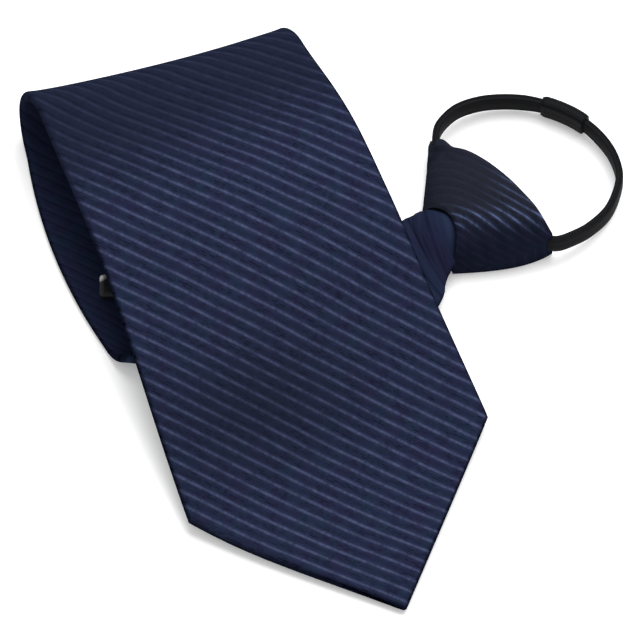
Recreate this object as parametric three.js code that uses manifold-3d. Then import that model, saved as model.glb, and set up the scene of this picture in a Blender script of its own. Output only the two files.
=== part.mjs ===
// A zipper tie lying folded on a table, in millimetres, +Z up.
// The blade is one padded strip. It starts at its point, runs up the front, rolls over at the top,
// comes back along the table, curls up again at its lower left end and runs under the front to the knot.
// The neck loop is two strands of folded zipper tape that stand on edge and meet in a satin sleeve.
import * as THREE from 'three';
import { mergeVertices } from 'three/addons/utils/BufferGeometryUtils.js';
import { RoundedBoxGeometry } from 'three/addons/geometries/RoundedBoxGeometry.js';
import ManifoldModule from 'manifold-3d';

const wasm = await ManifoldModule();
wasm.setup();

// Blade
const BLADE_WIDTH = 80.4; // across the corners of the point
const POINT_DEPTH = 42.3; // from the corners to the point
const POINT_SHIFT = 1; // how far the point hangs to the right
const FRONT_LENGTH = 112.7; // from the corners to the roll
const ROLL_WIDTH = 70.2; // where the front meets the roll
const UNDER_WIDTH = 52; // where the under layer meets the curl
const BLADE_WALL = 2.2; // two layers of satin and the interlining
const FRONT_HEADING = 111.9; // degrees from +X, the way the front runs up from its point
const CORNER_X = 4.6; // the middle between the corners of the point
const CORNER_Y = -44.5;

// Heights of the folded blade over the table, at the middle of its wall
const POINT_HEIGHT = 1.5;
const CORNER_HEIGHT = 2.2;
const FRONT_CROWN = 1.2; // how far the front's middle is raised
const LEFT_BOW = 1.2; // how far its left edge bows in over the opening of the roll
const RIGHT_BOW = 1.35; // how far its right edge bows out above the knot
const ROLL_RADIUS_LEFT = 10.2;
const ROLL_RADIUS_RIGHT = 5.7;
const ROLL_SAG = 2.4; // how far back the roll lies halfway across
const CURL_RADIUS_LEFT = 5;
const CURL_RADIUS_RIGHT = 2.3;
const CURL_HEADING = -10; // degrees from +X, the way the curl lies
const CURL_X = -54; // the left end of the curl
const CURL_Y = -7.5;

// Knot
const THROAT_X = 29.4; // the middle of the throat, where the blade leaves the knot
const THROAT_Y = 20.7;
const KNOT_THROAT_WIDTH = 17.3;
const KNOT_THROAT_HEIGHT = 11.5;
const KNOT_TOP_WIDTH = 43; // at the collar end
const KNOT_TOP_HEIGHT = 17;
const KNOT_LENGTH = 18.7;
const KNOT_ROUNDING = 1.4; // how far the collar end bulges
const KNOT_BOW = 1.7; // how far its right side bows out
const KNOT_HEADING = 43.9; // degrees from +X, the way it points from the throat to the collar
const THROAT_TURN = -63.2; // degrees from +X, the way from the throat's left side to its right side
const COLLAR_TURN = -44.2; // the same at the collar end

// Neck loop
const LOOP_SPAN = 46; // the loop's longer inside measure
const LOOP_X = 44.9; // a point inside the loop that its route is measured from
const LOOP_Y = 31.6;
const TAPE_WIDTH = 5.4; // zipper tape folded once along its length
const TAPE_WALL = 1.9;
const PRESSED_WIDTH = 4.8; // inside the sleeve
const SLEEVE_LENGTH = 12.2;
const SLEEVE_WALL = 0.5;
const STAND_GAP = 0.3; // under the sleeve

// Zipper tail and its stop
const TAIL_REACH = 85; // from the back of the knot to the tail's end
const TAIL_WIDTH = 8;
const TAIL_WALL = 1.4;
const STOP_LENGTH = 5;
const STOP_WIDTH = 6.4;
const STOP_THICKNESS = 2.6;
const STOP_ROUNDING = 1.1;

const CLEARANCE = 0.3; // between one piece and what it sits in
const COLUMNS = 20; // facets across the blade
const TAIL_HEIGHT = BLADE_WALL + CLEARANCE + STOP_THICKNESS / 2; // the tail's stop lies on the under layer

const COLOURS = { satin: 0x1b2448, tape: 0x17171b, sleeve: 0x101014, metal: 0x8d9096 };

const degrees = THREE.MathUtils.degToRad;
const mix = THREE.MathUtils.lerp;
const point = (x, y, z = 0) => new THREE.Vector3(x, y, z);
const heading = (angle) => point(Math.cos(degrees(angle)), Math.sin(degrees(angle)));
const UP = point(0, 0, 1);

// Plan directions of the front blade, and the axis that it lies along.
const along = heading(FRONT_HEADING);
const across = heading(FRONT_HEADING - 90);
const cornerMiddle = point(CORNER_X, CORNER_Y);
const rollMiddle = cornerMiddle.clone().addScaledVector(along, FRONT_LENGTH);

// One row of a strip: its two edges, how far its middle is raised, and how far it lies back along the front.
const row = (left, right, { crown = 0, back = 0 } = {}) => ({ left, right, crown, back });

// Places across a strip from -1 to 1, close together at its rounded edges, with the wall's share there.
function stations(width, wall, columns) {
  const edge = Math.min(0.45, wall / width);
  const inside = Array.from({ length: columns - 3 }, (_, i) => {
    return [mix(-1 + edge, 1 - edge, i / (columns - 4)), 1];
  });
  return [[-1, 0.3], [-1 + 0.35 * edge, 0.82], ...inside, [1 - 0.35 * edge, 0.82], [1, 0.3]];
}

// A closed strip of even wall through its rows. To grow it moves each of its faces out.
function strip(rows, wall, { columns = COLUMNS, grow = 0 } = {}) {
  const thick = wall + 2 * grow;
  const widened = rows.map((r, i) => {
    const side = r.right.clone().sub(r.left).normalize().multiplyScalar(grow);
    const inner = rows[i === 0 ? 1 : i - 1];
    const isEnd = i === 0 || i === rows.length - 1;
    const path = r.left.clone().add(r.right).sub(inner.left).sub(inner.right);
    const end = path.setLength(isEnd ? grow : 0);
    return { ...r, left: r.left.clone().sub(side).add(end), right: r.right.clone().add(side).add(end) };
  });
  const middle = widened.map((r, i) => {
    const before = widened[Math.max(i - 1, 0)];
    const after = widened[Math.min(i + 1, widened.length - 1)];
    const path = after.left.clone().add(after.right).sub(before.left).sub(before.right);
    const face = r.right.clone().sub(r.left).cross(path).normalize();
    const width = r.left.distanceTo(r.right);
    return stations(width, thick, columns).map(([t, share]) => {
      const arch = 1 - ((t * width) / (width - 2 * grow)) ** 2;
      const at = r.left.clone().lerp(r.right, (t + 1) / 2);
      return { at: at.addScaledVector(face, r.crown * arch).addScaledVector(along, -r.back * arch), share };
    });
  });
  const last = middle[0].length - 1;
  const rings = middle.map((line, i) => {
    const before = middle[Math.max(i - 1, 0)];
    const after = middle[Math.min(i + 1, middle.length - 1)];
    const sides = line.map(({ at, share }, j) => {
      const side = line[Math.min(j + 1, last)].at.clone().sub(line[Math.max(j - 1, 0)].at);
      const path = after[j].at.clone().sub(before[j].at);
      const normal = side.cross(path).normalize().multiplyScalar((thick / 2) * share);
      return [at.clone().add(normal), at.clone().sub(normal)];
    });
    return [...sides.map(([top]) => top), ...sides.map(([, bottom]) => bottom).reverse()];
  });
  return loft(rings);
}

// A closed body through rings of points, each ring going round anticlockwise seen from the last one.
function loft(rings) {
  const size = rings[0].length;
  const index = [];
  for (let i = 0; i + 1 < rings.length; i++) {
    for (let j = 0; j < size; j++) {
      const [a, b] = [i * size + j, i * size + ((j + 1) % size)];
      index.push(a, b, b + size, a, b + size, a + size);
    }
  }
  const end = (rings.length - 1) * size;
  for (let j = 0; j < size / 2 - 1; j++) {
    const [a, b, c, d] = [j, j + 1, size - 2 - j, size - 1 - j];
    index.push(a, c, b, a, d, c);
    index.push(end + a, end + b, end + c, end + a, end + c, end + d);
  }
  const geometry = new THREE.BufferGeometry();
  geometry.setAttribute(
    'position',
    new THREE.Float32BufferAttribute(rings.flat().flatMap((p) => p.toArray()), 3),
  );
  geometry.setIndex(index);
  return mergeVertices(geometry, 1e-4);
}

// Cuts the second to last bodies out of the first, and keeps the largest piece.
function cut(geometry, ...tools) {
  const solid = ({ attributes, index }) =>
    new wasm.Manifold(
      new wasm.Mesh({
        numProp: 3,
        vertProperties: new Float32Array(attributes.position.array),
        triVerts: new Uint32Array(index.array),
      }),
    );
  const left = tools.reduce((rest, tool) => rest.subtract(solid(tool)), solid(geometry));
  const made = left.decompose().reduce((a, b) => (a.volume() > b.volume() ? a : b)).getMesh();
  const result = new THREE.BufferGeometry();
  result.setAttribute('position', new THREE.BufferAttribute(made.vertProperties, 3));
  result.setIndex(new THREE.BufferAttribute(made.triVerts, 1));
  return result;
}

// A table's column at one place, on a smooth curve through its entries.
function readAt(table, place, column = 'height') {
  const curve = new THREE.SplineCurve(table.map((entry) => new THREE.Vector2(entry.place, entry[column])));
  const last = table.length - 1;
  const i = Math.min(last - 1, Math.max(0, table.findLastIndex((entry) => entry.place <= place)));
  const local = (place - table[i].place) / (table[i + 1].place - table[i].place);
  return curve.getPoint((i + local) / last).y;
}

// The front's two edges rise softly from the corners towards the roll. The right one lies over the throat.
const SOFT_START = 10;
const LEFT_RISE = 1.75;
const RIGHT_TABLE = [
  // place: share of the front's length, height: share of the roll's height on the left
  { place: 0, height: 0 },
  { place: 0.22, height: 0.29 },
  { place: 0.32, height: 0.44 },
  { place: 0.4, height: 0.62 },
  { place: 0.48, height: 0.76 },
  { place: 0.6, height: 0.82 },
  { place: 0.74, height: 0.81 },
  { place: 0.86, height: 0.72 },
  { place: 1, height: 0.55 },
];
const rollTop = BLADE_WALL / 2 + 2 * ROLL_RADIUS_LEFT;
const risen = (distance) => (distance + Math.hypot(distance, SOFT_START)) / 2;

function frontRow(distance, width, { sideways = 0, inset = 0, outset = 0, ...shape } = {}) {
  const centre = cornerMiddle.clone().addScaledVector(along, distance).addScaledVector(across, sideways);
  const low = mix(POINT_HEIGHT, CORNER_HEIGHT, Math.min(1, 1 + distance / POINT_DEPTH));
  const share = risen(distance) / risen(FRONT_LENGTH);
  const leftZ = low + (rollTop - CORNER_HEIGHT) * (1 - (1 - share) ** LEFT_RISE);
  const rightZ = low + (rollTop - CORNER_HEIGHT) * readAt(RIGHT_TABLE, share);
  const left = centre.clone().addScaledVector(across, inset - width / 2).setZ(leftZ);
  return row(left, centre.addScaledVector(across, width / 2 + outset).setZ(rightZ), shape);
}

function frontRows() {
  const rows = [0.012, 0.12, 0.35, 0.6, 0.82].map((share) => {
    const sideways = POINT_SHIFT * (1 - share);
    return frontRow(POINT_DEPTH * (share - 1), BLADE_WIDTH * share, { sideways });
  });
  const steps = 18;
  for (let i = 0; i < steps; i++) {
    const share = i / steps;
    const width = mix(BLADE_WIDTH, ROLL_WIDTH, share);
    const inset = LEFT_BOW * Math.sin(Math.PI * share ** 1.3) ** 2;
    const outset = RIGHT_BOW * Math.sin(Math.PI * share ** 2.4) ** 2;
    const shape = { crown: FRONT_CROWN * Math.sin(Math.PI * share), back: ROLL_SAG * share ** 4 };
    rows.push(frontRow(FRONT_LENGTH * share, width, { inset, outset, ...shape }));
  }
  return rows;
}

// The roll at the top: each edge goes half round its own circle, and the strip moves left as it goes.
const ROLL_SHIFT = 4.9;
const ROLL_NARROWING = 1.6;
function rollRows(steps = 12) {
  return Array.from({ length: steps + 1 }, (_, i) => {
    const turn = (Math.PI * i) / steps;
    const shift = -ROLL_SHIFT * (i / steps) ** 1.2;
    const [left, right] = [[-1, ROLL_RADIUS_LEFT], [1, ROLL_RADIUS_RIGHT]].map(([side, radius]) => {
      const sideways = side * (ROLL_WIDTH / 2 - (ROLL_NARROWING * i) / steps) + shift;
      const height = BLADE_WALL / 2 + radius * (1 + Math.cos(turn));
      return rollMiddle.clone()
        .addScaledVector(across, sideways)
        .addScaledVector(along, radius * Math.sin(turn))
        .setZ(height);
    });
    return row(left, right, { back: ROLL_SAG });
  });
}

// The curl at the lower left: it lies slantwise, so both edges slide along it as they go round.
const curlAlong = heading(CURL_HEADING);
const curlOut = heading(CURL_HEADING - 90);
const curlLeft = point(CURL_X, CURL_Y);
const CURL_SLIDE_LEFT = 13;
const CURL_SLIDE_RIGHT = 7;
const curlSkew = degrees(FRONT_HEADING - 180 - CURL_HEADING);
const curlRight = curlLeft.clone()
  .addScaledVector(curlAlong, UNDER_WIDTH / Math.abs(Math.sin(curlSkew)));
function curlRows(steps = 10) {
  return Array.from({ length: steps + 1 }, (_, i) => {
    const turn = (Math.PI * i) / steps;
    const place = (start, radius, slide) => start.clone()
      .addScaledVector(curlOut, radius * Math.sin(turn))
      .addScaledVector(curlAlong, (slide * i) / steps)
      .setZ(BLADE_WALL / 2 + radius * (1 - Math.cos(turn)));
    return row(
      place(curlLeft, CURL_RADIUS_LEFT, CURL_SLIDE_LEFT),
      place(curlRight, CURL_RADIUS_RIGHT, CURL_SLIDE_RIGHT),
    );
  });
}

// The under layer lies flat on the table, and its left edge bows outwards.
const UNDER_BOW = 3.2;
function underRows(from, to, steps = 7) {
  return Array.from({ length: steps - 1 }, (_, i) => {
    const share = (i + 1) / steps;
    const left = from.left.clone().lerp(to.left, share);
    left.addScaledVector(across, -UNDER_BOW * 4 * share * (1 - share));
    return row(left, from.right.clone().lerp(to.right, share), { back: ROLL_SAG * (1 - share) ** 2 });
  });
}

// The knot's plan: where each side starts at the throat and ends at the collar.
const knotThroat = point(THROAT_X, THROAT_Y);
const knotThroatAcross = heading(THROAT_TURN);
const knotTop = knotThroat.clone().addScaledVector(heading(KNOT_HEADING), KNOT_LENGTH);
const knotTopAcross = heading(COLLAR_TURN);
const side = (middle, direction, offset) => middle.clone().addScaledVector(direction, offset);
const knotSides = [
  [side(knotThroat, knotThroatAcross, -KNOT_THROAT_WIDTH / 2),
    side(knotThroat, knotThroatAcross, KNOT_THROAT_WIDTH / 2)],
  [side(knotTop, knotTopAcross, -KNOT_TOP_WIDTH / 2),
    side(knotTop, knotTopAcross, KNOT_TOP_WIDTH / 2)],
];

// From the curl the strip runs under the front, arches up, gathers and goes into the knot. The gathers
// are soft rolls that run across it, as the knot's rim does.
const GATHER_DEPTH = 0.35;
const GATHER_PITCH = 3.4;
const THROAT_HEADING = 203; // degrees from +X, the way the throat looks
const throatAway = heading(THROAT_HEADING);
const THROAT_TABLE = [
  // place: in shares of the throat's width out from it, sides: of its half, the rest: of its height
  { place: -0.345, leftSide: 0.85, rightSide: 0.85, left: 0.35, right: 0.29, crown: 0.39 },
  { place: -0.175, leftSide: 0.91, rightSide: 0.91, left: 0.36, right: 0.27, crown: 0.42 },
  { place: -0.03, leftSide: 0.97, rightSide: 1, left: 0.38, right: 0.23, crown: 0.43 },
  { place: 0.115, leftSide: 1.02, rightSide: 1.28, left: 0.39, right: 0.2, crown: 0.45 },
  { place: 0.26, leftSide: 1.06, rightSide: 1.68, left: 0.4, right: 0.16, crown: 0.45 },
];
const throatRows = [0.26, 0.21, 0.16, 0.11, 0.06, 0.01, -0.04, -0.175, -0.345].map((place) => {
  const read = (column) => readAt(THROAT_TABLE, place, column);
  const out = place * KNOT_THROAT_WIDTH;
  const centre = knotThroat.clone().addScaledVector(throatAway, out);
  const half = KNOT_THROAT_WIDTH / 2 - BLADE_WALL / 2 - CLEARANCE;
  const gather = place > 0 ? GATHER_DEPTH * Math.sin((2 * Math.PI * out) / GATHER_PITCH) : 0;
  return row(
    side(centre, knotThroatAcross, -half * read('leftSide')).setZ(read('left') * KNOT_THROAT_HEIGHT),
    side(centre, knotThroatAcross, half * read('rightSide')).setZ(read('right') * KNOT_THROAT_HEIGHT),
    { crown: read('crown') * KNOT_THROAT_HEIGHT + gather },
  );
});

// Each edge swings out from a straight run between the curl and the throat, and the strip arches.
const HIDDEN_SWING = 4.5;
const HIDDEN_TABLE = [
  // share: of the way, swings: shares of the swing, crown: share of the crown at the throat
  { share: 0.15, leftSwing: 0.1, rightSwing: 0.2, crown: 0.04 },
  { share: 0.35, leftSwing: 0.2, rightSwing: 0.55, crown: 0.14 },
  { share: 0.55, leftSwing: 0.2, rightSwing: 0.9, crown: 0.3 },
  { share: 0.72, leftSwing: 0.1, rightSwing: 0.9, crown: 0.52 },
  { share: 0.87, leftSwing: 0, rightSwing: 0.55, crown: 0.78 },
];
function hiddenRows(from, to) {
  return HIDDEN_TABLE.map(({ share, leftSwing, rightSwing, crown }) => {
    const left = from.left.clone().lerp(to.left, share);
    const right = from.right.clone().lerp(to.right, share);
    left.addScaledVector(across, -leftSwing * HIDDEN_SWING);
    right.addScaledVector(across, rightSwing * HIDDEN_SWING);
    return row(left, right, { crown: crown * to.crown });
  });
}

function bladeRows() {
  const roll = rollRows();
  const curl = curlRows();
  return [
    ...frontRows(),
    ...roll,
    ...underRows(roll.at(-1), curl[0]),
    ...curl,
    ...hiddenRows(curl.at(-1), throatRows[0]),
    ...throatRows,
  ];
}

// The knot is a blunt cone, flat below, with a hollow where the blade goes in.
const KNOT_BULGE = 2.2; // roundness of its section at the throat
const KNOT_EDGE = 0.08; // height of its edges there, as a share of its own height
const COLLAR_CORNER = 1.2; // how far the collar end's right corner is cut back
const THROAT_RECESS = 4; // how far the throat's rim stands back at its middle
const KNOT_REST = 0.3; // under the knot
const COLLAR_TABLE = [
  // place: from the collar end's left side at -1 to its right side at 1, height: share of the knot's
  { place: -1, height: 0.2 },
  { place: -0.75, height: 0.47 },
  { place: -0.48, height: 0.79 },
  { place: -0.18, height: 0.97 },
  { place: 0.1, height: 1.04 },
  { place: 0.3, height: 1.03 },
  { place: 0.5, height: 0.96 },
  { place: 0.74, height: 0.86 },
  { place: 0.88, height: 0.7 },
  { place: 1, height: 0.56 },
];
const ROUNDING_TABLE = [
  // out: share of the rounding, scale: of the collar end's outline there
  { out: 0.52, scale: 0.99 },
  { out: 0.88, scale: 0.92 },
  { out: 1, scale: 0.8 },
];
function knotGeometry() {
  const facets = 24;
  const sections = 10;
  const body = Array.from({ length: sections + 1 }, (_, i) => ({ share: i / sections, scale: 1, out: 0 }));
  const rounding = ROUNDING_TABLE.map(({ out, scale }) => ({ share: 1, scale, out: out * KNOT_ROUNDING }));
  const outward = knotTopAcross.clone().applyAxisAngle(UP, Math.PI / 2);
  const inward = throatAway.clone().negate();
  const places = Array.from({ length: facets + 1 }, (_, j) => -Math.cos((Math.PI * j) / facets));
  const rings = [...body, ...rounding].map(({ share, scale, out }) => {
    const [left, right] = [0, 1].map((k) => knotSides[0][k].clone().lerp(knotSides[1][k], share));
    right.addScaledVector(inward.clone().cross(UP), KNOT_BOW * 2.6 * share * (1 - share ** 2));
    right.addScaledVector(knotTopAcross, -COLLAR_CORNER * (out > 0 ? 1 : 0.4 * share ** 12));
    const centre = left.clone().add(right).multiplyScalar(0.5);
    const height = mix(KNOT_THROAT_HEIGHT, KNOT_TOP_HEIGHT, share) * scale;
    const at = (t, z) => {
      const edge = left.clone().lerp(right, (t + 1) / 2).sub(centre).multiplyScalar(scale);
      const roundness = 1 - t * t;
      return centre.clone().add(edge)
        .addScaledVector(outward, out * mix(0.4, 1, roundness))
        .addScaledVector(inward, THROAT_RECESS * roundness * (1 - share) ** 2)
        .setZ(KNOT_REST + z);
    };
    const over = places.map((t) => {
      const throat = mix(KNOT_EDGE, 1, (1 - Math.abs(t) ** KNOT_BULGE) ** (1 / KNOT_BULGE));
      return at(t, height * mix(throat, readAt(COLLAR_TABLE, t), share ** 1.5));
    });
    return [...over, ...places.toReversed().map((t) => at(t, 0))];
  });
  return loft(rings);
}

// The neck loop's route in plan, as shares of its span from a point near the knot's collar end.
const loopRoute = [
  // right: along +X, back: along +Y, height: share of the rise
  { right: -0.345, back: 0.3, height: 1 },
  { right: -0.345, back: 0.36, height: 0.95 },
  { right: -0.332, back: 0.43, height: 0.85 },
  { right: -0.243, back: 0.54, height: 0.6 },
  { right: -0.125, back: 0.597, height: 0.3 },
  { right: 0.01, back: 0.617, height: 0.1 },
  { right: 0.175, back: 0.605, height: 0 },
  { right: 0.32, back: 0.56, height: 0 },
  { right: 0.465, back: 0.475, height: 0 },
  { right: 0.6, back: 0.32, height: 0 },
  { right: 0.655, back: 0.18, height: 0 },
  { right: 0.655, back: 0.1, height: 0.03 },
  { right: 0.6, back: -0.07, height: 0.2 },
  { right: 0.505, back: -0.18, height: 0.4 },
  { right: 0.42, back: -0.24, height: 0.65 },
  { right: 0.3, back: -0.285, height: 0.95 },
  { right: 0.215, back: -0.25, height: 1 },
];
const LOOP_RISE = 2.1; // how much higher the tape stands at the knot than at its far side
const loopCurve = new THREE.CatmullRomCurve3(
  loopRoute.map(({ right, back, height }) => point(
    LOOP_X + right * LOOP_SPAN,
    LOOP_Y + back * LOOP_SPAN,
    STAND_GAP + SLEEVE_WALL + CLEARANCE + TAPE_WIDTH / 2 + height * LOOP_RISE,
  )),
  false,
  'centripetal',
);
const loopLength = loopCurve.getLength();
const SLEEVE_CENTRE = 0.427; // share of the loop where the sleeve sits

// A strip on edge along the loop, between two lengths from its start. The sleeve presses the tape narrower.
function standing(from, to, steps) {
  return Array.from({ length: steps + 1 }, (_, i) => {
    const length = mix(from, to, i / steps);
    const outside = Math.abs(length - SLEEVE_CENTRE * loopLength) - SLEEVE_LENGTH / 2 - CLEARANCE;
    const width = mix(PRESSED_WIDTH, TAPE_WIDTH, THREE.MathUtils.smoothstep(outside, 0, TAPE_WIDTH));
    const at = loopCurve.getPointAt(length / loopLength);
    return row(at.clone().addScaledVector(UP, -width / 2), at.clone().addScaledVector(UP, width / 2));
  });
}
const sleeveStart = SLEEVE_CENTRE * loopLength - SLEEVE_LENGTH / 2;
const sleeveEnd = sleeveStart + SLEEVE_LENGTH;
const TAPE_MEETING = 0.5; // gap between the two tape ends inside the sleeve
const tapeEnd = (sleeveStart + sleeveEnd - TAPE_MEETING) / 2;
const strands = {
  neck_strand_left: standing(0, tapeEnd, 24),
  neck_strand_right: standing(tapeEnd + TAPE_MEETING, loopLength, 30),
};

function sleeveGeometry() {
  const grow = CLEARANCE + SLEEVE_WALL;
  const outside = strip(standing(sleeveStart, sleeveEnd, 8), TAPE_WALL, { columns: 8, grow });
  const over = standing(sleeveStart - TAPE_WALL, sleeveEnd + TAPE_WALL, 10);
  return cut(outside, strip(over, TAPE_WALL, { columns: 8, grow: CLEARANCE }));
}

// The tail of the zipper runs from the knot's back, under the gathered strip, to its stop in the roll.
const TAIL_START = 6.2; // how far behind the throat's middle the tail starts
const tailRoute = [
  // left: along -X, front: along -Y, as shares of the tail's reach
  { left: 0, front: 0 },
  { left: 0.086, front: 0.048 },
  { left: 0.193, front: 0.102 },
  { left: 0.348, front: 0.155 },
  { left: 0.657, front: 0.188 },
  { left: 1, front: 0.185 },
];
const tailStart = knotThroat.clone().addScaledVector(throatAway, -TAIL_START);
const tailCurve = new THREE.CatmullRomCurve3(
  tailRoute.map(({ left, front }) => {
    return point(tailStart.x - left * TAIL_REACH, tailStart.y - front * TAIL_REACH, TAIL_HEIGHT);
  }),
  false,
  'centripetal',
);
function tailRows(steps = 16) {
  return Array.from({ length: steps + 1 }, (_, i) => {
    const at = tailCurve.getPointAt(i / steps);
    const sideways = tailCurve.getTangentAt(i / steps).cross(UP).setLength(TAIL_WIDTH / 2);
    return row(at.clone().sub(sideways), at.clone().add(sideways));
  });
}

function stopPlacement(mesh) {
  const end = tailCurve.getPointAt(1);
  const out = tailCurve.getTangentAt(1);
  mesh.position.copy(end).addScaledVector(out, STOP_LENGTH / 2 + CLEARANCE);
  mesh.rotation.z = Math.atan2(out.y, out.x);
}

function piece(name, geometry, color, roughness, metalness = 0) {
  const mesh = new THREE.Mesh(geometry, new THREE.MeshStandardMaterial({ color, roughness, metalness }));
  mesh.name = name;
  return mesh;
}

const rows = bladeRows();
const tail = tailRows();
const blade = strip(rows, BLADE_WALL);
const knot = cut(
  knotGeometry(),
  strip(rows.slice(-11), BLADE_WALL, { grow: CLEARANCE }),
  strip(tail.slice(0, 6), TAIL_WALL, { columns: 8, grow: CLEARANCE }),
  ...Object.values(strands).map((s) => strip(s, TAPE_WALL, { columns: 8, grow: CLEARANCE })),
);

const tie = new THREE.Group();
tie.add(piece('blade', blade, COLOURS.satin, 0.45));
tie.add(piece('knot', knot, COLOURS.satin, 0.45));
for (const [name, standingRows] of Object.entries(strands)) {
  tie.add(piece(name, strip(standingRows, TAPE_WALL, { columns: 8 }), COLOURS.tape, 0.7));
}
tie.add(piece('neck_sleeve', sleeveGeometry(), COLOURS.sleeve, 0.35));
tie.add(piece('zipper_tail', strip(tail, TAIL_WALL, { columns: 8 }), COLOURS.tape, 0.7));
const box = new RoundedBoxGeometry(STOP_LENGTH, STOP_WIDTH, STOP_THICKNESS, 3, STOP_ROUNDING);
box.deleteAttribute('normal').deleteAttribute('uv');
const stop = piece('tail_stop', mergeVertices(box, 1e-4), COLOURS.metal, 0.3, 0.9);
stopPlacement(stop);
tie.add(stop);

// The origin is below the middle of the whole tie, on the table.
const bounds = new THREE.Box3().setFromObject(tie);
const middleOfAll = bounds.getCenter(new THREE.Vector3());
tie.position.set(-middleOfAll.x, -middleOfAll.y, -bounds.min.z);

export default tie;
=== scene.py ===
"""A navy zipper tie, folded and laid on a pale table: satin blade, ready-made knot, loop of zipper tape."""

import bpy
import numpy as np
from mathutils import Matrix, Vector


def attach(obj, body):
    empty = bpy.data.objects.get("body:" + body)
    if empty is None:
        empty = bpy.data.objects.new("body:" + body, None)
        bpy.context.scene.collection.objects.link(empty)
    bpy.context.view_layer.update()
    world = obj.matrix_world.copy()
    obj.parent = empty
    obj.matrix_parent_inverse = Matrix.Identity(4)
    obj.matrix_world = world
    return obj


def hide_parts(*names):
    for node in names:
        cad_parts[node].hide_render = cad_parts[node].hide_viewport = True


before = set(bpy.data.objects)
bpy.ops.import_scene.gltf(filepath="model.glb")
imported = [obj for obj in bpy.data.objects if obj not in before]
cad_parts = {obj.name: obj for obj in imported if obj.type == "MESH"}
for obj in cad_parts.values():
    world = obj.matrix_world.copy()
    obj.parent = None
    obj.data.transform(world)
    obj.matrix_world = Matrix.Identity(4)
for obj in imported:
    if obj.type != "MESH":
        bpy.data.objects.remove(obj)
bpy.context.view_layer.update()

MM = 0.001
UP = np.array([0.0, 0.0, 1.0])

# Blade, in millimetres
BLADE_WIDTH = 80.4
POINT_DEPTH = 42.3
POINT_SHIFT = 1.0
POINT_BOW = 1.4
FRONT_LENGTH = 112.7
ROLL_WIDTH = 70.2
UNDER_WIDTH = 52.0
BLADE_WALL = 2.2
FRONT_HEADING = 111.9
CORNER = (4.6, -44.5)
POINT_HEIGHT = 1.5
CORNER_HEIGHT = 2.2
SOFT_START = 10.0
FRONT_CROWN = 1.2
LEFT_BOW = 1.2
RIGHT_BOW = 1.35
RIGHT_EASE = 0.35
ROLL_RADIUS_LEFT = 10.2
ROLL_RADIUS_RIGHT = 5.9
ROLL_SAG = 1.6
ROLL_SHIFT = 4.9
ROLL_NARROWING = 1.2
CURL_RADIUS_LEFT = 5.0
CURL_RADIUS_RIGHT = 2.3
CURL_HEADING = -10.0
CURL_LEFT = (-54.4, -7.5)
CURL_SLIDES = (13.0, 7.0)
UNDER_BOW = 2.9
LEFT_RISE = 1.75
RIGHT_PLACES = [0, 0.22, 0.32, 0.4, 0.48, 0.6, 0.74, 0.86, 1]
RIGHT_HEIGHTS = [0, 0.29, 0.44, 0.62, 0.76, 0.82, 0.81, 0.72, 0.55]

# Knot
THROAT = (29.4, 20.7)
THROAT_WIDTH = 17.3
THROAT_HEIGHT = 11.5
THROAT_HEADING = 203.0
THROAT_TURN = -63.2
THROAT_RECESS = 4.0
COLLAR_WIDTH = 43.0
COLLAR_HEIGHT = 17.0
COLLAR_TURN = -44.2
KNOT_LENGTH = 18.7
KNOT_HEADING = 43.9
KNOT_ROUNDING = 1.4
KNOT_BOW = 1.7
KNOT_REST = 0.3
KNOT_EDGE = 0.08
COLLAR_CORNER = 0.6
COLLAR_PLACES = [-1, -0.75, -0.48, -0.18, 0.1, 0.3, 0.5, 0.74, 0.88, 1]
COLLAR_HEIGHTS = [0.2, 0.47, 0.79, 0.97, 1.04, 1.05, 1.01, 0.92, 0.77, 0.58]

# Neck loop, tail and stop
LOOP_SPAN = 46.0
LOOP_MIDDLE = (44.9, 31.6)
LOOP_RISE = 2.1
TAPE_WIDTH = 5.4
TAPE_WALL = 1.9
PRESSED_WIDTH = 4.8
SLEEVE_LENGTH = 12.2
SLEEVE_WALL = 0.5
SLEEVE_CENTRE = 0.427
TAPE_MEETING = 0.5
STAND_GAP = 0.3
CLEARANCE = 0.3
TAIL_REACH = 85.0
TAIL_INSIDE = 6.2
TAIL_WIDTH = 8.0
TAIL_WALL = 1.4
TAIL_HEIGHT = 3.8

# From the origin of the measurements above to the row frame's
PLACE = np.array([-0.448, 2.582, 0.0])

# The satin: how far apart its ribs are, how they slant, how wide they are, and the dashed lines between two
RIB_PITCH = 3.1
RIB_ACROSS = 0.739
RIB_ALONG = 0.674
KNOT_RIB_PITCH = 2.15
RIB_SHARE = 0.22
DASHED_LINES = 5

# How many rows each stretch of the blade has
ROWS = {"point": 46, "front": 130, "roll": 48, "under": 92, "curl": 36, "throat": 200}


# Shapes
def heading(angle):
    """The plan direction at an angle from +X, in degrees."""
    a = np.radians(angle)
    return np.array([np.cos(a), np.sin(a), 0.0])


def mix(a, b, share):
    """The value that lies a share of the way from a to b."""
    return a + (b - a) * share


def unit(v):
    """Vectors at length one."""
    return v / np.maximum(np.linalg.norm(v, axis=-1, keepdims=True), 1e-12)


def through(x, xs, ys):
    """A smooth curve through the points (xs, ys): cubic Hermite pieces with slopes from the neighbours."""
    xs, ys = np.asarray(xs, float), np.asarray(ys, float)
    flat = ys.reshape(len(xs), -1)
    slopes = np.gradient(flat, xs, axis=0)
    i = np.clip(np.searchsorted(xs, x, side="right") - 1, 0, len(xs) - 2)
    step = (xs[i + 1] - xs[i])[:, None]
    t = ((x - xs[i]) / (xs[i + 1] - xs[i]))[:, None]
    a = flat[i] * (1 + 2 * t) * (1 - t) ** 2 + slopes[i] * step * t * (1 - t) ** 2
    b = flat[i + 1] * t**2 * (3 - 2 * t) + slopes[i + 1] * step * t**2 * (t - 1)
    return (a + b).reshape((len(x),) + ys.shape[1:])


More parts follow.
